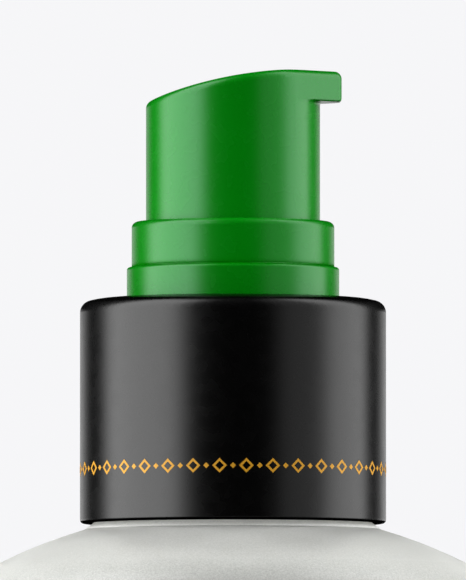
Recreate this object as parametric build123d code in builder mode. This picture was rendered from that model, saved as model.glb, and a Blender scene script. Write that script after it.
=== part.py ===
"""Foundation bottle: a frosted glass bottle closed by a screw-on treatment pump.

Frame: millimetres, +Z up, origin at the centre of the base on the table. The spout points along +X.
The glass bottle stands still. A screw closure inside a black sleeve clamps the pump onto the glass neck.
The green head slides 4.5 down through a two-tier green collar, and drives the pump's stem against a spring.
"""

import os

from build123d import *

# ---------------------------------------------------------------- driving dimensions
SLEEVE_RADIUS = 12.0
SLEEVE_BOTTOM_Z = 62.6
SLEEVE_HEIGHT = 17.65
BODY_RADIUS = 21.0
LOWER_TIER = (8.33, 2.435)  # radius and height of the collar's lower tier
UPPER_TIER = (7.95, 3.58)
HEAD_RADIUS = 6.825
HEAD_RISE = 11.765  # from the collar's top to the head's flat top
SPOUT_REACH = 8.52  # from the axis to the spout's end
SPOUT_HEIGHT = 2.385
THREAD_PITCH = 3.175
THREAD_TURNS = 1.5

# ---------------------------------------------------------------- levels worked out from them
SLEEVE_TOP_Z = SLEEVE_BOTTOM_Z + SLEEVE_HEIGHT
LEDGE_Z = SLEEVE_TOP_Z + LOWER_TIER[1]
COLLAR_TOP_Z = LEDGE_Z + UPPER_TIER[1]
HEAD_TOP_Z = COLLAR_TOP_Z + HEAD_RISE
SPOUT_BOTTOM_Z = HEAD_TOP_Z - SPOUT_HEIGHT

# the clamped stack between the sleeve's roof and the glass rim, from the top down
SLEEVE_WALL = 0.6
SLEEVE_ROOF = 0.7
CLOSURE_ROOF = 0.97
TURN_GAP = 0.03  # lets the closure turn on the collar's foot, and the gasket lift off the glass
FOOT_THICKNESS = 0.8
FLANGE_THICKNESS = 1.0
GASKET_THICKNESS = 0.8
CLOSURE_TOP_Z = SLEEVE_TOP_Z - SLEEVE_ROOF
FOOT_TOP_Z = CLOSURE_TOP_Z - CLOSURE_ROOF - TURN_GAP
FLANGE_TOP_Z = FOOT_TOP_Z - FOOT_THICKNESS
FLANGE_BOTTOM_Z = FLANGE_TOP_Z - FLANGE_THICKNESS
NECK_TOP_Z = FLANGE_BOTTOM_Z - GASKET_THICKNESS

# outer sleeve
SLEEVE_BORE_RADIUS = SLEEVE_RADIUS - SLEEVE_WALL
SLEEVE_CROWN_START = 9.6  # radius where the flat top starts to curve down
SLEEVE_CROWN_RADIUS = 7.0
SLEEVE_TOP_FILLET = 0.95
SLEEVE_BOTTOM_FILLET = 0.29
COLLAR_HOLE_RADIUS = LOWER_TIER[0] + 0.07

# glass bottle
GLASS_WALL = 2.4
DOME_RADIUS = 41.0
DOME_CENTRE_Z = SLEEVE_BOTTOM_Z - 39.81
SHOULDER_FILLET = 4.5
STEP_FOOT_RADIUS = 11.65  # where the dome meets the small cone under the sleeve
STEP_TOP_RADIUS = 10.86
STEP_TOP_Z = SLEEVE_BOTTOM_Z + 0.1
NECK_RADIUS = 8.9
NECK_BORE_RADIUS = 6.0
NECK_FOOT_FILLET = 0.4
RIM_FILLET = 0.5
BEAD_Z = STEP_TOP_Z + 2.4
BEAD_HALF_HEIGHT = 0.8
BEAD_BULGE = 0.6
BASE_THICKNESS = 7.5
BASE_FILLET = 2.6
PUSH_UP_RADIUS = 13.5
PUSH_UP_DEPTH = 1.3
CAVITY_CORNER = 3.0

# threads of the glass neck and of the closure
THREAD_DEPTH = 0.95
THREAD_FLANK = 0.55  # how much a thread narrows on each side between its foot and its crest
THREAD_ROOTING = 0.25  # how far a thread's foot sinks into its wall
THREAD_FLANK_GAP = 0.06
GLASS_THREAD_WIDTH = 1.9
CLOSURE_THREAD_WIDTH = 1.7
GLASS_THREAD_Z = NECK_TOP_Z - 2.1 - THREAD_TURNS * THREAD_PITCH

# screw closure
CLOSURE_RADIUS = 11.1
CLOSURE_BORE_RADIUS = 10.1
CLOSURE_BOTTOM_Z = SLEEVE_BOTTOM_Z + 0.4
CLOSURE_RIBS = 24
CLOSURE_RIB_WIDTH = 0.6
CLOSURE_EDGE_FILLET = 0.5
RIB_RELIEF = 0.01  # keeps the ribs' corners off the sleeve's round bore

# collar
FOOT_RADIUS = 9.4
FOOT_BORE_RADIUS = 5.75
COLLAR_FLOOR_Z = FOOT_TOP_Z + 0.6
HEAD_CLEARANCE = 0.12
COLLAR_TOP_FILLET = 0.5
COLLAR_MOUTH_FILLET = 0.15
LEDGE_FILLET = 0.24
LEDGE_INNER_FILLET = 0.1

# pump housing and its cap
PUMP_BORE_RADIUS = 3.75
BARREL_RADIUS = 4.7
FLANGE_RADIUS = 8.9
GASKET_RADIUS = 8.7
RIM_RADIUS = 4.9
HOUSING_WALL = 0.9
SNAP_BOTTOM_Z = FLANGE_TOP_Z + 0.7
SNAP_HEIGHT = 0.4
SNAP_DEPTH = 0.12
VENT_RADIUS = 0.35
GUIDE_BOTTOM_Z = FLANGE_TOP_Z - 1.5
CAP_EDGE_FILLET = 0.3
CAP_RADIUS = 5.7
CAP_ROOF_Z = FOOT_TOP_Z + 1.0
CAP_TOP_Z = CAP_ROOF_Z + 0.8
BARREL_FLOOR_Z = 67.6
SPRING_WELL_RADIUS = 2.85
SPRING_FLOOR_Z = 62.0
BALL_CHAMBER_RADIUS = 1.75
BALL_RADIUS = 1.5
BALL_LIFT = 0.7
CATCHES = 3
CATCH_RADIUS = 1.2
CATCH_WIDTH = 0.6
CATCH_ROOTING = 0.2
SEAT_RADIUS = 1.0
SEAT_Z = 58.55
SOCKET_DEPTH = 8.0
TUBE_RADIUS = 1.6
TUBE_BORE_RADIUS = 1.0
TUBE_TIP_Z = BASE_THICKNESS + 0.7
TUBE_CUT_SLOPE = 0.8

# plunger
STEM_RADIUS = 1.9
STEM_BORE_RADIUS = 1.1
STEM_TOP_Z = 91.0
STEM_CHAMFER = 0.2
ROD_GRIP = 4.0  # how far the piston rod reaches into the stem
FLUTES = 4
FLUTE_WIDTH = 0.5
FLUTE_FLOOR_RADIUS = 0.65
ROD_RADIUS = 1.6
VALVE_RADIUS = 2.6
VALVE_THICKNESS = 1.0
PISTON_BOTTOM_Z = 72.0
PISTON_HEIGHT = 4.0
LOST_MOTION = 0.6
RUNNING_GAP = 0.05
SEAT_GAP = 0.02
SPRING_RADIUS = 2.1
SPRING_WIRE_RADIUS = 0.25
SPRING_TURNS = 6.5
SPRING_PILOT_RADIUS = 1.75
SPRING_PILOT_HEIGHT = 1.4
PISTON_HUB_RADIUS = 2.4
PISTON_SKIRT_RADIUS = 3.5
PISTON_SKIRT_WALL = 0.5
PISTON_WEB = 1.2
LIP_SETBACK = 0.4
LIP_HEIGHT = 0.5
LIP_GAP = 0.03

# head
HEAD_WALL = 0.9
SKIRT_BOTTOM_Z = COLLAR_TOP_Z - 2.1
HEAD_CEILING_Z = SPOUT_BOTTOM_Z - 1.3
TOP_ARC_RADIUS = 42.5
TOP_ARC_CREST = (7.7, 0.12)  # the arc's highest point: its X, and its height over the spout's flat top
TOP_BEND_RADIUS = 20.0  # eases the arc into the flat top
TOP_EDGE_FILLET = 0.6
SPOUT_ANGLE = 44  # degrees from +X to where the spout's sides leave the round head
SPOUT_TIP_CORNER = 0.6
SPOUT_UNDERSIDE_FILLET = 0.27
SPOUT_BORE_DROP = 0.5  # how much lower the bore starts, at the axis
TOP_CUT_MARGIN = 1.0
SPOUT_BORE_RADIUS = 0.45
CORE_RADIUS = 3.0
CORE_BOTTOM_Z = 85.1
CORE_RIB_BOTTOM_Z = 87.0
CORE_RIBS = 4
CORE_RIB_WIDTH = 0.7
NIPPLE_RADIUS = 1.5
FEED_RADIUS = 0.7
MOUTH_CHAMFER = 0.12

os.makedirs("parts", exist_ok=True)


def save(piece, name):
    """Labels a finished piece and writes its STEP file."""
    piece.part.label = name
    export_step(piece.part, f"parts/{name}.step")


def ring(outer, inner, bottom, top, mode=Mode.ADD):
    """Draws a ring's section, between two radii and two levels, in a sketch on Plane.XZ."""
    with Locations(((outer + inner) / 2, (bottom + top) / 2)):
        Rectangle(outer - inner, top - bottom, mode=mode)


def rims(piece, radius, level):
    """Finds the circular edges of a piece that have one radius and lie at one level."""
    circles = piece.edges().filter_by(GeomType.CIRCLE)
    return circles.filter_by(
        lambda edge: abs(edge.radius - radius) < 1e-3 and abs(edge.arc_center.Z - level) < 1e-3
    )


def across(path):
    """The plane across a path's start, with its x axis pointing away from the Z axis."""
    return Plane(origin=path @ 0, x_dir=(1, 0, 0), z_dir=path % 0)


def thread_section(width, depth):
    """Draws a thread's section, with its foot at x = 0 and its crest towards the sign of depth."""
    rooting = THREAD_ROOTING if depth > 0 else -THREAD_ROOTING
    foot = width / 2
    crest = foot - THREAD_FLANK
    Polygon(
        (-rooting, -foot),
        (0, -foot),
        (depth, -crest),
        (depth, crest),
        (0, foot),
        (-rooting, foot),
        align=None,
    )


# ---------------------------------------------------------------- bottle
def sphere_z(radius, wall=0.0):
    """Level of the domed shoulder at a distance from the axis, on its skin or a wall beneath it."""
    return DOME_CENTRE_Z + ((DOME_RADIUS - wall) ** 2 - radius**2) ** 0.5


def corner_of_dome(side_radius, dome_radius, fillet_radius):
    """Where a fillet between a dome and an upright wall starts on the dome and ends on the wall."""
    centre_radius = side_radius - fillet_radius
    centre_rise = ((dome_radius - fillet_radius) ** 2 - centre_radius**2) ** 0.5
    share = dome_radius / (dome_radius - fillet_radius)
    on_dome = (centre_radius * share, DOME_CENTRE_Z + centre_rise * share)
    on_wall = (side_radius, DOME_CENTRE_Z + centre_rise)
    return on_dome, on_wall


CAVITY_RADIUS = BODY_RADIUS - GLASS_WALL
shoulder_on_dome, shoulder_on_wall = corner_of_dome(BODY_RADIUS, DOME_RADIUS, SHOULDER_FILLET)
cavity_on_dome, cavity_on_wall = corner_of_dome(CAVITY_RADIUS, DOME_RADIUS - GLASS_WALL, CAVITY_CORNER)
push_up_sphere = (PUSH_UP_RADIUS**2 + PUSH_UP_DEPTH**2) / (2 * PUSH_UP_DEPTH)
step_foot = (STEP_FOOT_RADIUS, sphere_z(STEP_FOOT_RADIUS))
neck_bore_foot = (NECK_BORE_RADIUS, sphere_z(NECK_BORE_RADIUS, GLASS_WALL))

with BuildPart() as bottle:
    with BuildSketch(Plane.XZ):
        with BuildLine():
            # dished base, upright wall and domed shoulder, from the axis outwards and up
            Line((0, BASE_THICKNESS), (0, PUSH_UP_DEPTH))
            RadiusArc((0, PUSH_UP_DEPTH), (PUSH_UP_RADIUS, 0), push_up_sphere)
            Line((PUSH_UP_RADIUS, 0), (BODY_RADIUS - BASE_FILLET, 0))
            RadiusArc((BODY_RADIUS - BASE_FILLET, 0), (BODY_RADIUS, BASE_FILLET), -BASE_FILLET)
            Line((BODY_RADIUS, BASE_FILLET), shoulder_on_wall)
            RadiusArc(shoulder_on_wall, shoulder_on_dome, -SHOULDER_FILLET)
            RadiusArc(shoulder_on_dome, step_foot, -DOME_RADIUS)
            # small cone under the sleeve, neck with its transfer bead, and rim
            Polyline(
                step_foot,
                (STEP_TOP_RADIUS, STEP_TOP_Z),
                (NECK_RADIUS, STEP_TOP_Z),
                (NECK_RADIUS, BEAD_Z - BEAD_HALF_HEIGHT),
            )
            ThreePointArc(
                (NECK_RADIUS, BEAD_Z - BEAD_HALF_HEIGHT),
                (NECK_RADIUS + BEAD_BULGE, BEAD_Z),
                (NECK_RADIUS, BEAD_Z + BEAD_HALF_HEIGHT),
            )
            Polyline(
                (NECK_RADIUS, BEAD_Z + BEAD_HALF_HEIGHT),
                (NECK_RADIUS, NECK_TOP_Z),
                (NECK_BORE_RADIUS, NECK_TOP_Z),
                neck_bore_foot,
            )
            # cavity, back down to the axis
            RadiusArc(neck_bore_foot, cavity_on_dome, DOME_RADIUS - GLASS_WALL)
            RadiusArc(cavity_on_dome, cavity_on_wall, CAVITY_CORNER)
            Line(cavity_on_wall, (CAVITY_RADIUS, BASE_THICKNESS + CAVITY_CORNER))
            RadiusArc(
                (CAVITY_RADIUS, BASE_THICKNESS + CAVITY_CORNER),
                (CAVITY_RADIUS - CAVITY_CORNER, BASE_THICKNESS),
                CAVITY_CORNER,
            )
            Line((CAVITY_RADIUS - CAVITY_CORNER, BASE_THICKNESS), (0, BASE_THICKNESS))
        make_face()
    revolve(axis=Axis.Z)
    fillet(rims(bottle, NECK_RADIUS, NECK_TOP_Z) + rims(bottle, NECK_BORE_RADIUS, NECK_TOP_Z), RIM_FILLET)
    fillet(rims(bottle, NECK_RADIUS, STEP_TOP_Z), NECK_FOOT_FILLET)
    with BuildLine() as glass_helix:
        Helix(THREAD_PITCH, THREAD_TURNS * THREAD_PITCH, NECK_RADIUS, center=(0, 0, GLASS_THREAD_Z))
    with BuildSketch(across(glass_helix.line)):
        thread_section(GLASS_THREAD_WIDTH, THREAD_DEPTH)
    sweep(path=glass_helix.line, is_frenet=True)
save(bottle, "bottle")

# ---------------------------------------------------------------- outer sleeve
crown_drop = SLEEVE_CROWN_RADIUS - (SLEEVE_CROWN_RADIUS**2 - (SLEEVE_RADIUS - SLEEVE_CROWN_START) ** 2) ** 0.5
sleeve_side_top = (SLEEVE_RADIUS, SLEEVE_TOP_Z - crown_drop)

with BuildPart() as outer_sleeve:
    with BuildSketch(Plane.XZ):
        with BuildLine():
            Polyline(
                sleeve_side_top,
                (SLEEVE_RADIUS, SLEEVE_BOTTOM_Z),
                (SLEEVE_BORE_RADIUS, SLEEVE_BOTTOM_Z),
                (SLEEVE_BORE_RADIUS, CLOSURE_TOP_Z),
                (COLLAR_HOLE_RADIUS, CLOSURE_TOP_Z),
                (COLLAR_HOLE_RADIUS, SLEEVE_TOP_Z),
                (SLEEVE_CROWN_START, SLEEVE_TOP_Z),
            )
            RadiusArc((SLEEVE_CROWN_START, SLEEVE_TOP_Z), sleeve_side_top, SLEEVE_CROWN_RADIUS)
        make_face()
    revolve(axis=Axis.Z)
    fillet(rims(outer_sleeve, SLEEVE_RADIUS, sleeve_side_top[1]), SLEEVE_TOP_FILLET)
    fillet(rims(outer_sleeve, SLEEVE_RADIUS, SLEEVE_BOTTOM_Z), SLEEVE_BOTTOM_FILLET)
save(outer_sleeve, "outer_sleeve")

# ---------------------------------------------------------------- screw closure
CLOSURE_BORE_TOP_Z = CLOSURE_TOP_Z - CLOSURE_ROOF
# The closure's thread bears on the glass thread from below, flank against flank.
thread_taper = THREAD_FLANK / THREAD_DEPTH * (CLOSURE_BORE_RADIUS - NECK_RADIUS)
thread_drop = (GLASS_THREAD_WIDTH + CLOSURE_THREAD_WIDTH) / 2 - thread_taper + THREAD_FLANK_GAP
closure_thread_z = GLASS_THREAD_Z - thread_drop
rib_depth = SLEEVE_BORE_RADIUS - CLOSURE_RADIUS - RIB_RELIEF

with BuildPart() as screw_closure:
    with BuildSketch(Plane.XZ):
        ring(CLOSURE_RADIUS, COLLAR_HOLE_RADIUS, CLOSURE_BOTTOM_Z, CLOSURE_TOP_Z)
        ring(CLOSURE_BORE_RADIUS, 0, CLOSURE_BOTTOM_Z, CLOSURE_BORE_TOP_Z, Mode.SUBTRACT)
    revolve(axis=Axis.Z)
    fillet(rims(screw_closure, CLOSURE_RADIUS, CLOSURE_TOP_Z), CLOSURE_EDGE_FILLET)
    # ribs that hold the sleeve
    with BuildSketch(Plane.XY.offset(CLOSURE_BOTTOM_Z)):
        with PolarLocations(CLOSURE_RADIUS, CLOSURE_RIBS):
            Rectangle(2 * rib_depth, CLOSURE_RIB_WIDTH)
    extrude(amount=CLOSURE_BORE_TOP_Z - CLOSURE_BOTTOM_Z)
    with BuildLine() as closure_helix:
        Helix(
            THREAD_PITCH,
            THREAD_TURNS * THREAD_PITCH,
            CLOSURE_BORE_RADIUS,
            center=(0, 0, closure_thread_z),
        )
    with BuildSketch(across(closure_helix.line)):
        thread_section(CLOSURE_THREAD_WIDTH, -THREAD_DEPTH)
    sweep(path=closure_helix.line, is_frenet=True)
save(screw_closure, "screw_closure")

# ---------------------------------------------------------------- two-tier collar
COLLAR_BORE_RADIUS = HEAD_RADIUS + HEAD_CLEARANCE

with BuildPart() as collar:
    with BuildSketch(Plane.XZ):
        ring(FOOT_RADIUS, FOOT_BORE_RADIUS, FLANGE_TOP_Z, FOOT_TOP_Z)
        ring(LOWER_TIER[0], FOOT_BORE_RADIUS, FLANGE_TOP_Z, LEDGE_Z)
        ring(UPPER_TIER[0], FOOT_BORE_RADIUS, LEDGE_Z, COLLAR_TOP_Z)
        ring(COLLAR_BORE_RADIUS, 0, COLLAR_FLOOR_Z, COLLAR_TOP_Z, Mode.SUBTRACT)
    revolve(axis=Axis.Z)
    fillet(rims(collar, UPPER_TIER[0], COLLAR_TOP_Z), COLLAR_TOP_FILLET)
    fillet(rims(collar, COLLAR_BORE_RADIUS, COLLAR_TOP_Z), COLLAR_MOUTH_FILLET)
    fillet(rims(collar, LOWER_TIER[0], LEDGE_Z), LEDGE_FILLET)
    fillet(rims(collar, UPPER_TIER[0], LEDGE_Z), LEDGE_INNER_FILLET)
save(collar, "collar")

# ---------------------------------------------------------------- neck gasket
with BuildPart() as neck_gasket:
    with BuildSketch(Plane.XZ):
        ring(GASKET_RADIUS, BARREL_RADIUS + RUNNING_GAP, NECK_TOP_Z + TURN_GAP, FLANGE_BOTTOM_Z)
    revolve(axis=Axis.Z)
save(neck_gasket, "neck_gasket")

# ---------------------------------------------------------------- pump housing
INLET_BOTTOM_Z = SEAT_Z - SEAT_RADIUS
SOCKET_BOTTOM_Z = INLET_BOTTOM_Z - SOCKET_DEPTH
chamber_foot_z = SEAT_Z + BALL_CHAMBER_RADIUS - SEAT_RADIUS  # the seat is a 45 degree cone
well_top_z = BARREL_FLOOR_Z - (PUMP_BORE_RADIUS - SPRING_WELL_RADIUS)
socket_radius = TUBE_RADIUS + HOUSING_WALL
well_radius = SPRING_WELL_RADIUS + HOUSING_WALL
well_foot_z = SPRING_FLOOR_Z - HOUSING_WALL
ball_rest_z = SEAT_Z - SEAT_RADIUS + BALL_RADIUS * 2**0.5 + SEAT_GAP
# The ball rises until it meets the catches, which reach in to CATCH_RADIUS.
catch_bottom_z = ball_rest_z + BALL_LIFT + (BALL_RADIUS**2 - CATCH_RADIUS**2) ** 0.5 + SEAT_GAP

with BuildPart() as pump_housing:
    with BuildSketch(Plane.XZ):
        with BuildLine():
            Polyline(
                # outside, from the dip tube socket up to the rim
                (TUBE_RADIUS, SOCKET_BOTTOM_Z),
                (socket_radius, SOCKET_BOTTOM_Z),
                (socket_radius, well_foot_z - (well_radius - socket_radius)),
                (well_radius, well_foot_z),
                (well_radius, well_top_z - HOUSING_WALL),
                (BARREL_RADIUS, well_top_z - HOUSING_WALL + BARREL_RADIUS - well_radius),
                (BARREL_RADIUS, FLANGE_BOTTOM_Z),
                (FLANGE_RADIUS, FLANGE_BOTTOM_Z),
                (FLANGE_RADIUS, FLANGE_TOP_Z),
                (RIM_RADIUS, FLANGE_TOP_Z),
                (RIM_RADIUS, CAP_ROOF_Z),
                # inside, down to the inlet
                (PUMP_BORE_RADIUS, CAP_ROOF_Z),
                (PUMP_BORE_RADIUS, BARREL_FLOOR_Z),
                (SPRING_WELL_RADIUS, well_top_z),
                (SPRING_WELL_RADIUS, SPRING_FLOOR_Z),
                (BALL_CHAMBER_RADIUS, SPRING_FLOOR_Z),
                (BALL_CHAMBER_RADIUS, chamber_foot_z),
                (SEAT_RADIUS, SEAT_Z),
                (SEAT_RADIUS, INLET_BOTTOM_Z),
                (TUBE_RADIUS, INLET_BOTTOM_Z),
                close=True,
            )
        make_face()
        ring(RIM_RADIUS + SNAP_DEPTH, PUMP_BORE_RADIUS, SNAP_BOTTOM_Z, SNAP_BOTTOM_Z + SNAP_HEIGHT)
    revolve(axis=Axis.Z)
    # catches that keep the ball in its chamber
    with BuildSketch(Plane.XY.offset(catch_bottom_z)):
        with PolarLocations((CATCH_RADIUS + BALL_CHAMBER_RADIUS + CATCH_ROOTING) / 2, CATCHES):
            Rectangle(BALL_CHAMBER_RADIUS + CATCH_ROOTING - CATCH_RADIUS, CATCH_WIDTH)
    extrude(amount=SPRING_FLOOR_Z - catch_bottom_z)
    # vent through the barrel, between the resting piston's lips
    with BuildSketch(Plane.YZ):
        with Locations((0, PISTON_BOTTOM_Z + PISTON_HEIGHT / 2)):
            Circle(VENT_RADIUS)
    extrude(amount=BARREL_RADIUS, mode=Mode.SUBTRACT)
save(pump_housing, "pump_housing")

# ---------------------------------------------------------------- housing cap
STEM_HOLE_RADIUS = STEM_RADIUS + RUNNING_GAP

with BuildPart() as housing_cap:
    with BuildSketch(Plane.XZ):
        ring(CAP_RADIUS, RIM_RADIUS + RUNNING_GAP, FLANGE_TOP_Z, CAP_ROOF_Z)
        ring(CAP_RADIUS, STEM_HOLE_RADIUS, CAP_ROOF_Z, CAP_TOP_Z)
        ring(PUMP_BORE_RADIUS - RUNNING_GAP, STEM_HOLE_RADIUS, GUIDE_BOTTOM_Z, CAP_ROOF_Z)
        ring(
            RIM_RADIUS + SNAP_DEPTH + RUNNING_GAP,
            RIM_RADIUS,
            SNAP_BOTTOM_Z - RUNNING_GAP,
            SNAP_BOTTOM_Z + SNAP_HEIGHT + RUNNING_GAP,
            Mode.SUBTRACT,
        )
    revolve(axis=Axis.Z)
    fillet(rims(housing_cap, CAP_RADIUS, CAP_TOP_Z), CAP_EDGE_FILLET)
save(housing_cap, "housing_cap")

# ---------------------------------------------------------------- inlet ball and dip tube
with BuildPart() as inlet_ball:
    with Locations((0, 0, ball_rest_z)):
        Sphere(BALL_RADIUS)
save(inlet_ball, "inlet_ball")

with BuildPart() as dip_tube:
    with BuildSketch(Plane.XZ):
        ring(TUBE_RADIUS, TUBE_BORE_RADIUS, TUBE_TIP_Z, INLET_BOTTOM_Z)
    revolve(axis=Axis.Z)
    # the foot is cut aslant so that it can't seal against the glass
    slant_cut = Plane(origin=(TUBE_RADIUS, 0, TUBE_TIP_Z), z_dir=(TUBE_CUT_SLOPE, 0, 1))
    split(bisect_by=slant_cut, keep=Keep.TOP)
save(dip_tube, "dip_tube")

# ---------------------------------------------------------------- stem and piston rod
VALVE_TOP_Z = PISTON_BOTTOM_Z - SEAT_GAP
VALVE_BOTTOM_Z = VALVE_TOP_Z - VALVE_THICKNESS
STEM_BOTTOM_Z = PISTON_BOTTOM_Z + PISTON_HEIGHT + LOST_MOTION + SEAT_GAP

with BuildPart() as stem:
    with BuildSketch(Plane.XZ):
        ring(STEM_RADIUS, STEM_BORE_RADIUS, STEM_BOTTOM_Z, STEM_TOP_Z)
    revolve(axis=Axis.Z)
    chamfer(rims(stem, STEM_RADIUS, STEM_TOP_Z), STEM_CHAMFER)
save(stem, "stem")

with BuildPart() as piston_rod:
    with BuildSketch(Plane.XZ):
        ring(SPRING_PILOT_RADIUS, 0, VALVE_BOTTOM_Z - SPRING_PILOT_HEIGHT, VALVE_BOTTOM_Z)
        ring(VALVE_RADIUS, 0, VALVE_BOTTOM_Z, VALVE_TOP_Z)
        ring(ROD_RADIUS, 0, VALVE_TOP_Z, STEM_BOTTOM_Z)
        ring(STEM_BORE_RADIUS, 0, STEM_BOTTOM_Z, STEM_BOTTOM_Z + ROD_GRIP)
    revolve(axis=Axis.Z)
    # flutes that carry the liquid past the piston and into the stem
    with BuildSketch(Plane.XY.offset(VALVE_TOP_Z)):
        with PolarLocations((FLUTE_FLOOR_RADIUS + VALVE_RADIUS) / 2, FLUTES):
            Rectangle(VALVE_RADIUS - FLUTE_FLOOR_RADIUS, FLUTE_WIDTH)
    extrude(amount=STEM_BOTTOM_Z + ROD_GRIP - VALVE_TOP_Z, mode=Mode.SUBTRACT)
save(piston_rod, "piston_rod")

# ---------------------------------------------------------------- piston
piston_top_z = PISTON_BOTTOM_Z + PISTON_HEIGHT
piston_middle_z = PISTON_BOTTOM_Z + PISTON_HEIGHT / 2
lip_bottom_z = PISTON_BOTTOM_Z + LIP_SETBACK
lip_top_z = piston_top_z - LIP_SETBACK

with BuildPart() as piston:
    with BuildSketch(Plane.XZ):
        ring(PISTON_HUB_RADIUS, ROD_RADIUS + RUNNING_GAP, PISTON_BOTTOM_Z, piston_top_z)
        ring(
            PISTON_SKIRT_RADIUS,
            ROD_RADIUS + RUNNING_GAP,
            piston_middle_z - PISTON_WEB / 2,
            piston_middle_z + PISTON_WEB / 2,
        )
        ring(PISTON_SKIRT_RADIUS, PISTON_SKIRT_RADIUS - PISTON_SKIRT_WALL, lip_bottom_z, lip_top_z)
        for bottom in (lip_bottom_z, lip_top_z - LIP_HEIGHT):
            ring(
                PUMP_BORE_RADIUS - LIP_GAP,
                PISTON_SKIRT_RADIUS - PISTON_SKIRT_WALL,
                bottom,
                bottom + LIP_HEIGHT,
            )
    revolve(axis=Axis.Z)
save(piston, "piston")

# ---------------------------------------------------------------- spring
spring_foot_z = SPRING_FLOOR_Z + SPRING_WIRE_RADIUS + SEAT_GAP
spring_head_z = VALVE_BOTTOM_Z - SPRING_WIRE_RADIUS - SEAT_GAP
spring_length = spring_head_z - spring_foot_z

with BuildPart() as spring:
    with BuildLine() as spring_helix:
        Helix(spring_length / SPRING_TURNS, spring_length, SPRING_RADIUS, center=(0, 0, spring_foot_z))
    with BuildSketch(across(spring_helix.line)):
        Circle(SPRING_WIRE_RADIUS)
    sweep(path=spring_helix.line, is_frenet=True)
save(spring, "spring")

# ---------------------------------------------------------------- actuator
HEAD_BORE_RADIUS = HEAD_RADIUS - HEAD_WALL
spout_mouth_z = (SPOUT_BOTTOM_Z + HEAD_TOP_Z) / 2
spout_foot_z = spout_mouth_z - SPOUT_BORE_DROP
nipple_top_z = spout_foot_z - FEED_RADIUS
# The spout's sides run straight on from the round head, so they are tangents of its circle.
spout_root = Vector(HEAD_RADIUS, 0).rotate(Axis.Z, SPOUT_ANGLE)
spout_half_width = (HEAD_RADIUS**2 - SPOUT_REACH * spout_root.X) / spout_root.Y
top_arc_centre_z = HEAD_TOP_Z + TOP_ARC_CREST[1] - TOP_ARC_RADIUS
top_low_x = -HEAD_RADIUS - TOP_CUT_MARGIN
top_low_z = top_arc_centre_z + (TOP_ARC_RADIUS**2 - (TOP_ARC_CREST[0] - top_low_x) ** 2) ** 0.5
# where the arc comes up to the level of the spout's flat top
flat_start_x = TOP_ARC_CREST[0] - (TOP_ARC_RADIUS**2 - (HEAD_TOP_Z - top_arc_centre_z) ** 2) ** 0.5

with BuildPart() as actuator:
    with BuildSketch(Plane(origin=(0, 0, SKIRT_BOTTOM_Z), x_dir=(-1, 0, 0))):
        Circle(HEAD_RADIUS)
    extrude(amount=HEAD_TOP_Z - SKIRT_BOTTOM_Z)
    # spout, a blunt wedge as seen from above
    with BuildSketch(Plane.XY.offset(SPOUT_BOTTOM_Z)) as spout_plan:
        Polygon(
            (0, 0),
            (spout_root.X, -spout_root.Y),
            (SPOUT_REACH, -spout_half_width),
            (SPOUT_REACH, spout_half_width),
            (spout_root.X, spout_root.Y),
            align=None,
        )
        fillet(spout_plan.vertices().group_by(Axis.X)[-1], SPOUT_TIP_CORNER)
    extrude(amount=SPOUT_HEIGHT)
    # top, level over the spout and falling away in an arc towards the back
    with BuildSketch(Plane.XZ) as above_top:
        with BuildLine():
            RadiusArc((top_low_x, top_low_z), (flat_start_x, HEAD_TOP_Z), TOP_ARC_RADIUS)
            Polyline(
                (flat_start_x, HEAD_TOP_Z),
                (SPOUT_REACH + TOP_CUT_MARGIN, HEAD_TOP_Z),
                (SPOUT_REACH + TOP_CUT_MARGIN, HEAD_TOP_Z + TOP_CUT_MARGIN),
                (top_low_x, HEAD_TOP_Z + TOP_CUT_MARGIN),
                (top_low_x, top_low_z),
            )
        make_face()
        bend = above_top.vertices().filter_by(lambda point: abs(point.X - flat_start_x) < 1e-3)
        fillet(bend, TOP_BEND_RADIUS)
    extrude(amount=HEAD_RADIUS + TOP_CUT_MARGIN, both=True, mode=Mode.SUBTRACT)
    spout_underside = actuator.faces().filter_by(Plane.XY).sort_by(Axis.Z)[1]
    fillet(spout_underside.edges(), SPOUT_UNDERSIDE_FILLET)
    top_faces = actuator.faces().filter_by(
        lambda face: face.center().Z > SPOUT_BOTTOM_Z and face.normal_at().Z > 0.9
    )
    # every edge around the top, but not the two lines where its arc bends into the level part
    cross_lines = top_faces.edges().filter_by(Axis.Y).filter_by(lambda edge: edge.center().X < HEAD_RADIUS)
    fillet([edge for edge in top_faces.edges() if edge not in cross_lines], TOP_EDGE_FILLET)
    # hollow for the core, socket for its nipple, and the bore out to the spout's end
    with BuildSketch(Plane.XY.offset(SKIRT_BOTTOM_Z)):
        Circle(HEAD_BORE_RADIUS)
    extrude(amount=HEAD_CEILING_Z - SKIRT_BOTTOM_Z, mode=Mode.SUBTRACT)
    with BuildSketch(Plane.XY.offset(HEAD_CEILING_Z)):
        Circle(NIPPLE_RADIUS)
    extrude(amount=spout_foot_z - HEAD_CEILING_Z, mode=Mode.SUBTRACT)
    with BuildSketch(Plane(origin=(0, 0, spout_foot_z), z_dir=(SPOUT_REACH, 0, SPOUT_BORE_DROP))):
        Circle(SPOUT_BORE_RADIUS)
    extrude(amount=SPOUT_REACH + TOP_CUT_MARGIN, mode=Mode.SUBTRACT)
    mouth = actuator.faces().sort_by(Axis.X)[-1].inner_wires()[0]
    chamfer(mouth.edges(), MOUTH_CHAMFER)
save(actuator, "actuator")

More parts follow.
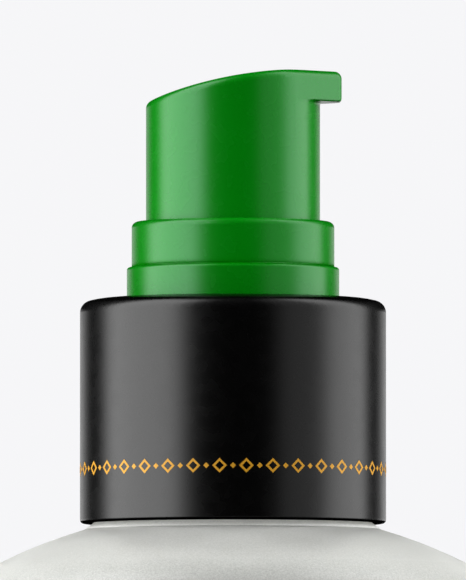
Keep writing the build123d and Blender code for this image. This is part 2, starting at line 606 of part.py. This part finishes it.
# ---------------------------------------------------------------- actuator core
with BuildPart() as actuator_core:
    with BuildSketch(Plane.XZ):
        ring(CORE_RADIUS, FEED_RADIUS, CORE_BOTTOM_Z, HEAD_CEILING_Z)
        ring(NIPPLE_RADIUS, FEED_RADIUS, HEAD_CEILING_Z, nipple_top_z)
        ring(STEM_RADIUS + SEAT_GAP, 0, CORE_BOTTOM_Z, STEM_TOP_Z + SEAT_GAP, Mode.SUBTRACT)
    revolve(axis=Axis.Z)
    # ribs that centre it in the head
    with BuildSketch(Plane.XY.offset(CORE_RIB_BOTTOM_Z)):
        with PolarLocations(CORE_RADIUS, CORE_RIBS):
            Rectangle(2 * (HEAD_BORE_RADIUS - CORE_RADIUS), CORE_RIB_WIDTH)
        Circle(HEAD_BORE_RADIUS, mode=Mode.INTERSECT)
        Circle((CORE_RADIUS + STEM_RADIUS) / 2, mode=Mode.SUBTRACT)
    extrude(amount=HEAD_CEILING_Z - CORE_RIB_BOTTOM_Z)
save(actuator_core, "actuator_core")
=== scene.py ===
"""Looks of the foundation bottle: satin green pump head, satin black sleeve and frosted glass.

Every shape of the CAD frame stays as it is. This script gives each node its material, adds the gold foil
band on the sleeve and a spring with closed ends, and sets the stage, the lights and the camera.
Lengths are in metres, angles in degrees. Azimuth 0 is the camera's side (-Y), and +90 is +X.
"""

import math

import bmesh
import bpy
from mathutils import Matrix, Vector


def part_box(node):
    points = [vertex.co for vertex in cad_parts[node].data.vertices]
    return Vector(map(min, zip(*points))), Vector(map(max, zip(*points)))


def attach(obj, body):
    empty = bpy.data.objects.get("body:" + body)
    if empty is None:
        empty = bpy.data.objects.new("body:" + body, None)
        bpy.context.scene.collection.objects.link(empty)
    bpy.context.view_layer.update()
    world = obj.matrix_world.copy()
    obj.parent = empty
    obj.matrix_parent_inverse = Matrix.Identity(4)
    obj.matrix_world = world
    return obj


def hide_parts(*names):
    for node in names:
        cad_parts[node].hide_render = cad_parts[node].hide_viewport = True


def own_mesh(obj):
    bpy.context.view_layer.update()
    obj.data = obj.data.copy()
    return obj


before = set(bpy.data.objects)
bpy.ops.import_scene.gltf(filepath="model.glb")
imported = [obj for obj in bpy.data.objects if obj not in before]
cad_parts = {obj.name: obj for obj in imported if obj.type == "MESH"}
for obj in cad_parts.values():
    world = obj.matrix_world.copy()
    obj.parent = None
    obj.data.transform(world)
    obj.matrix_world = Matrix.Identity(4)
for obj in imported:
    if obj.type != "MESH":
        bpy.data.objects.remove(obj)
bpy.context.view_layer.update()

MM = 0.001

# ---------------------------------------------------------------- sizes read from the frame
SLEEVE_LOW, SLEEVE_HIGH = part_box("outer_sleeve")
SLEEVE_RADIUS = SLEEVE_HIGH.x
COLLAR_TOP_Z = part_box("collar")[1].z
HEAD_TOP_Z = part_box("actuator")[1].z

# ---------------------------------------------------------------- helpers


def fill(tree, socket, value):
    """Links an input socket to another node's output, or sets it to a plain value."""
    if isinstance(value, bpy.types.NodeSocket):
        tree.links.new(value, socket)
    else:
        socket.default_value = value


def feed(tree, node, **inputs):
    """Fills a node's named inputs; '_' stands for a space in an input's name."""
    for name, value in inputs.items():
        fill(tree, node.inputs[name.replace("_", " ")], value)


def add(tree, kind, settings=None, **inputs):
    """Adds a node, sets its properties and fills its named inputs."""
    made = tree.nodes.new(kind)
    for name, value in (settings or {}).items():
        setattr(made, name, value)
    feed(tree, made, **inputs)
    return made


def maths(tree, operation, a, b=0.0):
    """The result of one maths step on numbers or sockets."""
    made = add(tree, "ShaderNodeMath", {"operation": operation})
    fill(tree, made.inputs[0], a)
    fill(tree, made.inputs[1], b)
    return made.outputs[0]


def product(tree, first, *others):
    """Numbers or sockets multiplied together."""
    for other in others:
        first = maths(tree, "MULTIPLY", first, other)
    return first


def ramp(tree, value, low, high, to_low=0.0, to_high=1.0, smooth=True):
    """Maps value from low..high to to_low..to_high, with soft ends."""
    made = add(
        tree,
        "ShaderNodeMapRange",
        {"interpolation_type": "SMOOTHSTEP" if smooth else "LINEAR", "clamp": True},
        Value=value,
        From_Min=low,
        From_Max=high,
        To_Min=to_low,
        To_Max=to_high,
    )
    return made.outputs[0]


def span(tree, value, start, end, soft_start, soft_end):
    """1 where value is between start and end and 0 elsewhere, with soft ends."""
    rise = ramp(tree, value, start - soft_start, start + soft_start)
    fall = ramp(tree, value, end - soft_end, end + soft_end, 1.0, 0.0)
    return product(tree, rise, fall)


def noise(tree, place, size, detail=2.0, roughness=0.5):
    """Noise with features about size metres across."""
    made = add(tree, "ShaderNodeTexNoise", Vector=place, Scale=1.0 / size, Detail=detail, Roughness=roughness)
    return made.outputs["Fac"]


def vary(tree, value, middle, spread):
    """Turns noise, which seldom leaves 0.3 to 0.7, into numbers spread round a middle one."""
    return ramp(tree, value, 0.3, 0.7, middle - spread, middle + spread)


def new_material(name):
    """A material with a Principled shader: (material, tree, shader, coordinates of the piece)."""
    made = bpy.data.materials.new(name)
    made.use_nodes = True
    tree = made.node_tree
    shader = tree.nodes["Principled BSDF"]
    place = add(tree, "ShaderNodeTexCoord").outputs["Object"]
    return made, tree, shader, place


def level_of(tree, place):
    """The height of a point of the piece."""
    return add(tree, "ShaderNodeSeparateXYZ", Vector=place).outputs["Z"]


def bump(tree, height, depth):
    """Normals for a fine relief, depth metres from its lowest to its highest point."""
    return add(tree, "ShaderNodeBump", Height=height, Distance=depth, Strength=1.0).outputs[0]


def tint(tree, value, low, high):
    """A colour between low and high."""
    made = add(tree, "ShaderNodeMix", {"data_type": "RGBA", "clamp_factor": False})
    first_colour, second_colour, colour_result = made.inputs[6], made.inputs[7], made.outputs[2]
    fill(tree, made.inputs["Factor"], value)
    fill(tree, first_colour, (*low, 1.0))
    fill(tree, second_colour, (*high, 1.0))
    return colour_result


def mix_shaders(tree, share, first, second, output):
    """Blends two shaders, with the second one's share, into the tree's output node."""
    mixed = add(tree, "ShaderNodeMixShader")
    for socket, value in zip(mixed.inputs, (share, first, second)):
        fill(tree, socket, value)
    tree.links.new(mixed.outputs[0], tree.nodes[output].inputs["Surface"])


def make_object(name, mesh, material):
    """Turns a bmesh into an object of the scene with one material."""
    data = bpy.data.meshes.new(name)
    mesh.to_mesh(data)
    mesh.free()
    data.materials.append(material)
    made = bpy.data.objects.new(name, data)
    bpy.context.scene.collection.objects.link(made)
    return made


# ---------------------------------------------------------------- materials
PAINTED_EDGE_SHADE_BLUR = 0.05 * MM  # the lacquer's gloss changes over twice this height, where its reflection is painted out as shade
PAINTED_ROOF_SHADE_GLOSS = 0.2  # the share of the gloss that is left above the upper level, where the rest is painted out as shade
CORNER_REACH = 0.8 * MM  # how far up a wall the painted shade of an inner corner reaches
PAINTED_CORNER_SHADE_DEPTH = 5.0  # how much darker the painted corner shade is, as a multiple of the colour's own spread
CORNER_BLUR = 0.1 * MM
CORNER_OPENNESS = (0.76, 0.93)  # painted corner shade: how open a spot is where it is full, and where it stops


def satin_lacquer(
    name, low, high, roughness, sheen=(1.0, 1.0, 1.0), gloss=0.5, shade_painted_beyond=None, painted_corner_shade=None
):
    """A satin lacquer: highlights of the sheen's colour with soft edges, and a very faint orange peel.

    The gloss is 0.5 for plain lacquer. Given two levels for painted end shade, the reflection is taken out
    under the lower one and mostly over the upper one, which paints dark shade lines along the foot and the
    top of the piece. Given two levels for painted corner shade, the lacquer between them is painted darker
    and not shiny in the piece's inner corners.
    """
    made, tree, shader, place = new_material(name)
    shade = noise(tree, place, 6 * MM, 3.0)
    peel = noise(tree, place, 1.2 * MM, 1.0)
    gloss_with_painted_shade = gloss
    # painted shade: the reflection is taken out under the foot level and mostly over the roof level, which
    # draws dark lines along the piece's foot and top
    if shade_painted_beyond:
        foot, roof = shade_painted_beyond
        level = level_of(tree, place)
        over_painted_foot_shade = ramp(tree, level, foot - PAINTED_EDGE_SHADE_BLUR, foot + PAINTED_EDGE_SHADE_BLUR)
        under_painted_roof_shade = ramp(tree, level, roof - PAINTED_EDGE_SHADE_BLUR, roof + PAINTED_EDGE_SHADE_BLUR, 1.0, PAINTED_ROOF_SHADE_GLOSS)
        gloss_with_painted_shade = product(tree, gloss, over_painted_foot_shade, under_painted_roof_shade)
    # painted shade in inner corners: ambient occlusion darkens the colour and takes out the reflection
    if painted_corner_shade:
        bottom, top = painted_corner_shade
        level = level_of(tree, place)
        settings = {"samples": 16, "only_local": True}
        openness = add(tree, "ShaderNodeAmbientOcclusion", settings, Distance=CORNER_REACH).outputs["AO"]
        closed = product(
            tree,
            ramp(tree, openness, *CORNER_OPENNESS, 1.0, 0.0),
            ramp(tree, level, bottom - CORNER_BLUR, bottom),
            ramp(tree, level, top, top + CORNER_BLUR, 1.0, 0.0),
        )
        gloss_with_painted_shade = product(tree, maths(tree, "SUBTRACT", 1.0, closed), gloss)
        shade = maths(tree, "SUBTRACT", shade, product(tree, closed, PAINTED_CORNER_SHADE_DEPTH))
    feed(
        tree,
        shader,
        Base_Color=tint(tree, shade, low, high),
        Roughness=vary(tree, peel, roughness, 0.012),
        IOR=1.5,
        Specular_Tint=(*sheen, 1.0),
        Specular_IOR_Level=gloss_with_painted_shade,
    )
    return made


CONE_HEIGHT = 0.5 * MM  # how much of the glass's small cone shows under the sleeve
CONE_FADE = 0.3 * MM  # how far up inside the sleeve the painted light on the cone fades out
CONE_PAINTED_LIGHT = 1.8  # painted light: how much paler the cone is painted, as a multiple of the glass's own spread
CONE_GLOW = 0.14  # stands for the light that reaches the cone through the glass


def frosted_glass(name):
    """Acid-frosted glass: milky, with a fine even grain, and painted light on the small cone under the
    sleeve: a paler colour and a faint glow.
    """
    made, tree, shader, place = new_material(name)
    grain = ramp(tree, noise(tree, place, 0.13 * MM, 2.0, 0.6), 0.25, 0.75, smooth=False)
    cloud = noise(tree, place, 4 * MM, 2.0)
    shade = maths(tree, "ADD", product(tree, grain, 0.8), product(tree, cloud, 0.2))
    level = level_of(tree, place)
    # painted light on the small cone just under the sleeve: a paler colour and a glow
    crease = SLEEVE_LOW.z - CONE_HEIGHT
    cone = ramp(tree, level, crease, crease + 0.1 * MM)
    cone = product(tree, cone, ramp(tree, level, SLEEVE_LOW.z, SLEEVE_LOW.z + CONE_FADE, 1.0, 0.0))
    shade = maths(tree, "ADD", shade, product(tree, cone, CONE_PAINTED_LIGHT))
    feed(
        tree,
        shader,
        Base_Color=tint(tree, shade, (0.305, 0.31, 0.295), (0.505, 0.51, 0.489)),
        Roughness=vary(tree, grain, 0.32, 0.04),
        Normal=bump(tree, grain, 0.0012 * MM),
        IOR=1.5,
        Emission_Color=(0.95, 0.96, 0.93, 1.0),
        Emission_Strength=product(tree, cone, CONE_GLOW),
        Sheen_Weight=0.12,
        Sheen_Roughness=0.3,
        Subsurface_Weight=0.8,
        Subsurface_Radius=(1.0, 1.0, 0.95),
        Subsurface_Scale=1.5 * MM,
    )
    return made


def moulded_plastic(name, low, high, roughness):
    """Bare moulded plastic of the inner parts, with faint flow marks."""
    made, tree, shader, place = new_material(name)
    flow = noise(tree, place, 3 * MM, 4.0, 0.6)
    grain = noise(tree, place, 0.12 * MM, 2.0)
    feed(
        tree,
        shader,
        Base_Color=tint(tree, flow, low, high),
        Roughness=vary(tree, grain, roughness, 0.05),
        Normal=bump(tree, grain, 0.002 * MM),
        Subsurface_Weight=0.15,
        Subsurface_Radius=(1.0, 1.0, 0.9),
        Subsurface_Scale=0.6 * MM,
    )
    return made


def metal(name, low, high, roughness, metallic=1.0):
    """Bare metal with fine drawing marks, or a metallic print."""
    made, tree, shader, place = new_material(name)
    marks = noise(tree, place, 0.1 * MM, 4.0, 0.7)
    feed(
        tree,
        shader,
        Base_Color=tint(tree, marks, low, high),
        Roughness=vary(tree, marks, roughness, 0.04),
        Normal=bump(tree, marks, 0.0008 * MM),
        Metallic=metallic,
    )
    return made


GREEN = satin_lacquer(
    "green_satin_lacquer",
    (0.0, 0.215, 0.002),
    (0.0, 0.235, 0.003),
    0.27,
    sheen=(0.7, 1.0, 0.86),
    gloss=0.54,
    # painted shade in the inner corners between these two levels
    painted_corner_shade=(SLEEVE_HIGH.z + 1.0 * MM, COLLAR_TOP_Z - 1.0 * MM),
)
BLACK = satin_lacquer(
    "black_satin_lacquer",
    (0.0005, 0.0005, 0.0005),
    (0.0008, 0.0008, 0.0008),
    0.27,
    # painted shade: the sleeve's reflection is taken out along its foot and its top, which draws dark lines
    # there
    shade_painted_beyond=(SLEEVE_LOW.z + 0.2 * MM, SLEEVE_HIGH.z - 0.45 * MM),
)
GLASS = frosted_glass("frosted_glass")
NATURAL = moulded_plastic("natural_plastic", (0.72, 0.72, 0.69), (0.80, 0.80, 0.77), 0.4)
SOFT = moulded_plastic("soft_plastic", (0.80, 0.81, 0.80), (0.87, 0.88, 0.87), 0.35)
FOAM = moulded_plastic("gasket_foam", (0.74, 0.74, 0.72), (0.84, 0.84, 0.82), 0.7)
STEEL = metal("spring_steel", (0.50, 0.51, 0.52), (0.60, 0.61, 0.62), 0.25)
BALL = metal("ball_steel", (0.64, 0.65, 0.66), (0.68, 0.69, 0.70), 0.08)
GOLD = metal("gold_print", (0.60, 0.29, 0.012), (0.70, 0.34, 0.018), 0.5, metallic=0.12)

FINISHES = {
    "actuator": GREEN,
    "collar": GREEN,
    "outer_sleeve": BLACK,
    "bottle": GLASS,
    "screw_closure": NATURAL,
    "actuator_core": NATURAL,
    "pump_housing": NATURAL,
    "housing_cap": NATURAL,
    "stem": NATURAL,
    "piston_rod": NATURAL,
    "piston": SOFT,
    "dip_tube": SOFT,
    "neck_gasket": FOAM,
    "spring": STEEL,
    "inlet_ball": BALL,
}
for node, finish in FINISHES.items():
    for material_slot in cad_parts[node].material_slots:
        material_slot.material = finish

# ---------------------------------------------------------------- gold foil band on the sleeve
BAND_Z = SLEEVE_LOW.z + 4.2 * MM  # the band's middle
BAND_HEIGHT = 1.15 * MM
BAND_REPEATS = 36
FOIL_STROKE = 0.17 * MM
FOIL_PROUD = 0.012 * MM
FOIL_ROOTED = 0.008 * MM
DIAMOND_WIDTH = 1.15 * MM
SMALL_DIAMOND = 0.46 * MM


def on_sleeve(x, z, lift):
    """The point x metres round the sleeve from the front and z above the band's middle."""
    angle = x / SLEEVE_RADIUS
    radius = SLEEVE_RADIUS + lift
    return Vector((radius * math.sin(angle), -radius * math.cos(angle), BAND_Z + z))


def foil_patch(mesh, outline, hole=None):
    """Adds one closed foil patch with an outline, as (x, z) points anticlockwise, and perhaps a like hole."""
    levels = []
    for lift in (FOIL_PROUD, -FOIL_ROOTED):
        rings = [[mesh.verts.new(on_sleeve(x, z, lift)) for x, z in loop] for loop in (outline, hole) if loop]
        levels.append(rings)
    top, bottom = levels
    count = len(outline)
    for i in range(count):
        j = (i + 1) % count
        mesh.faces.new((top[0][j], top[0][i], bottom[0][i], bottom[0][j]))
        if hole:
            mesh.faces.new((top[1][i], top[1][j], bottom[1][j], bottom[1][i]))
            mesh.faces.new((top[0][i], top[0][j], top[1][j], top[1][i]))
            mesh.faces.new((bottom[0][j], bottom[0][i], bottom[1][i], bottom[1][j]))
    if not hole:
        mesh.faces.new(top[0])
        mesh.faces.new(list(reversed(bottom[0])))


def loop_points(corners, steps=4):
    """A polygon's outline with extra points along its sides, so that it can bend round the sleeve."""
    points = []
    for (x0, z0), (x1, z1) in zip(corners, corners[1:] + corners[:1]):
        points += [(x0 + (x1 - x0) * k / steps, z0 + (z1 - z0) * k / steps) for k in range(steps)]
    return points


def diamond(width, height):
    return [(width / 2, 0), (0, height / 2), (-width / 2, 0), (0, -height / 2)]


def gold_band():
    """A row of open diamonds with small solid ones between them, all round the sleeve."""
    mesh = bmesh.new()
    pitch = 2 * math.pi * SLEEVE_RADIUS / BAND_REPEATS
    slope = math.hypot(DIAMOND_WIDTH, BAND_HEIGHT)
    inset = FOIL_STROKE * slope / BAND_HEIGHT  # how much narrower the hole's half width is
    inner_width = DIAMOND_WIDTH - 2 * inset
    inner_height = inner_width * BAND_HEIGHT / DIAMOND_WIDTH
    for k in range(BAND_REPEATS):
        x = (k + 0.5) * pitch
        outer = [(x + dx, z) for dx, z in loop_points(diamond(DIAMOND_WIDTH, BAND_HEIGHT))]
        inner = [(x + dx, z) for dx, z in loop_points(diamond(inner_width, inner_height))]
        foil_patch(mesh, outer, inner)
        middle = x + pitch / 2
        foil_patch(mesh, [(middle + dx, z) for dx, z in loop_points(diamond(SMALL_DIAMOND, SMALL_DIAMOND))])
    bmesh.ops.recalc_face_normals(mesh, faces=mesh.faces)
    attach(make_object("gold_band", mesh, GOLD), "closure")


gold_band()

# ---------------------------------------------------------------- spring with closed ends
SPRING_LOW, SPRING_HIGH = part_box("spring")
SPRING_TURNS = 7.5
WIRE_RADIUS = 0.25 * MM
CLOSED_PITCH = 2.04 * WIRE_RADIUS  # the end turns lie almost on the next ones
STEPS_PER_TURN = 40
WIRE_SIDES = 12


def coil_height(turn, open_pitch):
    """How high the wire's middle is after so many turns: its first and last turns lie closed."""
    open_turns = min(max(turn - 1.0, 0.0), SPRING_TURNS - 2.0)
    return open_turns * open_pitch + (turn - open_turns) * CLOSED_PITCH


def coil_middles():
    """Points along the middle of the spring's wire."""
    radius = SPRING_HIGH.x - WIRE_RADIUS
    lowest = SPRING_LOW.z + WIRE_RADIUS
    open_pitch = (SPRING_HIGH.z - WIRE_RADIUS - lowest - 2 * CLOSED_PITCH) / (SPRING_TURNS - 2.0)
    points = []
    for k in range(round(SPRING_TURNS * STEPS_PER_TURN) + 1):
        turn = k / STEPS_PER_TURN
        angle = 2 * math.pi * turn
        z = lowest + coil_height(turn, open_pitch)
        points.append(Vector((radius * math.cos(angle), radius * math.sin(angle), z)))
    return points


def wire_ring(mesh, before, middle, after):
    """Adds the ring of vertices round one point of the wire."""
    ahead = (after - before).normalized()
    outward = Vector((middle.x, middle.y, 0.0)).normalized()
    upward = ahead.cross(outward).normalized()
    outward = upward.cross(ahead).normalized()
    ring = []
    for side in range(WIRE_SIDES):
        turn = 2 * math.pi * side / WIRE_SIDES
        away = outward * math.cos(turn) + upward * math.sin(turn)
        ring.append(mesh.verts.new(middle + away * WIRE_RADIUS))
    return ring


def closed_spring():
    """A round-wire compression spring with closed ends."""
    mesh = bmesh.new()
    middles = coil_middles()
    befores = middles[:1] + middles[:-1]
    afters = middles[1:] + middles[-1:]
    rings = [wire_ring(mesh, *points) for points in zip(befores, middles, afters)]
    for ring, above in zip(rings, rings[1:]):
        for i in range(WIRE_SIDES):
            j = (i + 1) % WIRE_SIDES
            mesh.faces.new((ring[i], ring[j], above[j], above[i]))
    mesh.faces.new(rings[0])
    mesh.faces.new(list(reversed(rings[-1])))
    bmesh.ops.recalc_face_normals(mesh, faces=mesh.faces)
    for face in mesh.faces:
        face.smooth = len(face.verts) == 4
    spring = make_object("closed_spring", mesh, STEEL)
    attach(spring, "pump")
    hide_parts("spring")
    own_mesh(spring)


closed_spring()

# ---------------------------------------------------------------- stage
BACKDROP = (0.923, 0.923, 0.939)
FLOOR_RADIUS = 6.0
FLOOR_SIDES = 128
FLOOR_FADE = (0.15, 1.0)  # the distances between which the floor turns into the backdrop


def make_floor():
    """A pale round floor that fades into the backdrop. Only the camera and shadows know it."""
    mesh = bmesh.new()
    bmesh.ops.create_circle(mesh, cap_ends=True, radius=FLOOR_RADIUS, segments=FLOOR_SIDES)
    made, tree, shader, place = new_material("pale_floor")
    mottle = noise(tree, place, 9 * MM, 3.0)
    feed(tree, shader, Base_Color=tint(tree, mottle, (0.83, 0.83, 0.84), (0.86, 0.86, 0.87)), Roughness=0.8)
    apart = add(tree, "ShaderNodeVectorMath", {"operation": "LENGTH"}, Vector=place)
    glow = add(tree, "ShaderNodeEmission", Color=(*BACKDROP, 1.0), Strength=1.0)
    share = ramp(tree, apart.outputs["Value"], *FLOOR_FADE)
    mix_shaders(tree, share, shader.outputs[0], glow.outputs[0], "Material Output")
    floor = make_object("floor", mesh, made)
    floor.visible_glossy = False
    floor.visible_diffuse = False
    floor.visible_transmission = False


make_floor()

# ---------------------------------------------------------------- light
# The studio round the bottle, as (from azimuth, to azimuth, softness at each end, brightness).
STUDIO = (
    (-109.5, -40.0, 10.0, 11.0, 3.75),  # large softbox on the left
    (36.0, 75.0, 7.0, 10.0, 0.52),  # weaker flank of the softbox on the right
    (75.0, 118.5, 10.0, 6.0, 2.6),  # softbox on the right
)
DARK = 0.005  # brightness between the softboxes
AZIMUTH_SEAM = -130.0  # azimuths run on from here to 230, so that nothing behind the bottle is cut in two
HORIZON = (146.0, 214.0, 12.0, 1.05)  # the lit floor far behind: two azimuths, softness and brightness
HORIZON_BAND = (-11.0, 3.0, 3.0)  # its lowest and highest elevations, and their softness
SOFTBOX_TOP = 68.0
SOFTBOX_BOTTOM = -50.0
ELEVATION_SOFTNESS = 10.0

# Soft round lights, as (name, azimuth, elevation, distance, size, watts), all aimed at the sleeve's foot.
LIGHTS_AIM = Vector((0.0, 0.0, SLEEVE_LOW.z))
GLASS_LIGHTS = (
    ("left_back_light", -162.0, 44.0, 1.1, 0.15, 8.8),
    ("right_back_light", 162.0, 44.0, 1.1, 0.15, 7.4),
    ("left_side_light", -115.0, 28.0, 1.1, 0.15, 7.0),
    ("right_side_light", 115.0, 28.0, 1.1, 0.15, 5.5),
    ("top_light", 180.0, 75.0, 1.1, 0.2, 6.0),
)
GLASS_FILL = ("glass_fill", 0.0, -20.0, 1.0, 0.3, 2.4)
RIGHT_FILL = ("right_fill", 75.0, 22.0, 0.8, 0.3, 2.8)


def make_world():
    """The studio, as pieces reflect it and are lit by it. The camera itself sees a plain backdrop."""
    world = bpy.data.worlds.new("studio")
    bpy.context.scene.world = world
    world.use_nodes = True
    tree = world.node_tree
    way = add(tree, "ShaderNodeTexCoord").outputs["Generated"]
    x, y, z = add(tree, "ShaderNodeSeparateXYZ", Vector=way).outputs
    azimuth = maths(tree, "DEGREES", maths(tree, "ARCTAN2", x, product(tree, y, -1.0)))
    wrap = product(tree, maths(tree, "LESS_THAN", azimuth, AZIMUTH_SEAM), 360.0)
    azimuth = maths(tree, "ADD", azimuth, wrap)
    elevation = maths(tree, "DEGREES", maths(tree, "ARCSINE", z))
    total = DARK
    for start, end, soft_start, soft_end, brightness in STUDIO:
        strip = product(tree, span(tree, azimuth, start, end, soft_start, soft_end), brightness)
        total = maths(tree, "ADD", total, strip)
    soft = ELEVATION_SOFTNESS
    total = product(tree, total, span(tree, elevation, SOFTBOX_BOTTOM, SOFTBOX_TOP, soft, soft))
    start, end, soft, brightness = HORIZON
    glow = product(tree, span(tree, azimuth, start, end, soft, soft), brightness)
    low, high, soft = HORIZON_BAND
    glow = product(tree, glow, span(tree, elevation, low, high, soft, soft))
    total = maths(tree, "ADD", total, glow)
    studio = tree.nodes["Background"]
    feed(tree, studio, Color=(1.0, 1.0, 1.0, 1.0), Strength=total)
    plain = add(tree, "ShaderNodeBackground", Color=(*BACKDROP, 1.0), Strength=1.0)
    seen = add(tree, "ShaderNodeLightPath").outputs["Is Camera Ray"]
    mix_shaders(tree, seen, studio.outputs[0], plain.outputs[0], "World Output")


def group(name, pieces):
    """A collection outside the scene, which names the pieces that a light shines on or is blocked by."""
    made = bpy.data.collections.new(name)
    for piece in pieces:
        made.objects.link(piece)
    return made


def make_soft_light(name, azimuth, elevation, away, size, energy, lit=None, blockers=None):
    """A soft round light that doesn't show in reflections.

    It lights every piece, or only those in the collection lit. Shadows come from every piece, or only
    from those in the collection blockers.
    """
    data = bpy.data.lights.new(name, "AREA")
    data.shape = "DISK"
    data.size = size
    data.energy = energy
    light = bpy.data.objects.new(name, data)
    turn, rise = math.radians(azimuth), math.radians(elevation)
    way = Vector((math.sin(turn) * math.cos(rise), -math.cos(turn) * math.cos(rise), math.sin(rise)))
    light.location = LIGHTS_AIM + way * away
    light.rotation_euler = way.to_track_quat("Z", "Y").to_euler()
    light.visible_glossy = False
    light.visible_camera = False
    if lit:
        light.light_linking.receiver_collection = lit
    if blockers:
        light.light_linking.blocker_collection = blockers
    bpy.context.scene.collection.objects.link(light)


def make_lights():
    glass_only = group("glass_only", [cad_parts["bottle"]])
    for light in GLASS_LIGHTS:
        make_soft_light(*light, lit=glass_only)
    make_soft_light(*GLASS_FILL, lit=glass_only, blockers=glass_only)
    make_soft_light(*RIGHT_FILL)


make_world()
make_lights()

# ---------------------------------------------------------------- camera
CAMERA_AWAY = 1.434
CAMERA_Z = 21.9 * MM
TARGET_Z = HEAD_TOP_Z - 17.11 * MM
LENS_MM = 1136.0


def make_camera():
    """A long lens near the table's level, looking slightly up at the pump."""
    data = bpy.data.cameras.new("camera")
    data.lens = LENS_MM
    data.sensor_width = 36.0
    data.clip_start = 0.01
    data.clip_end = 20.0
    camera = bpy.data.objects.new("camera", data)
    camera.location = (0.0, -CAMERA_AWAY, CAMERA_Z)
    aim = Vector((0.0, 0.0, TARGET_Z)) - camera.location
    camera.rotation_euler = aim.to_track_quat("-Z", "Y").to_euler()
    bpy.context.scene.collection.objects.link(camera)
    bpy.context.scene.camera = camera


make_camera()
bpy.context.scene.view_settings.view_transform = "Standard"
bpy.context.scene.view_settings.look = "None"
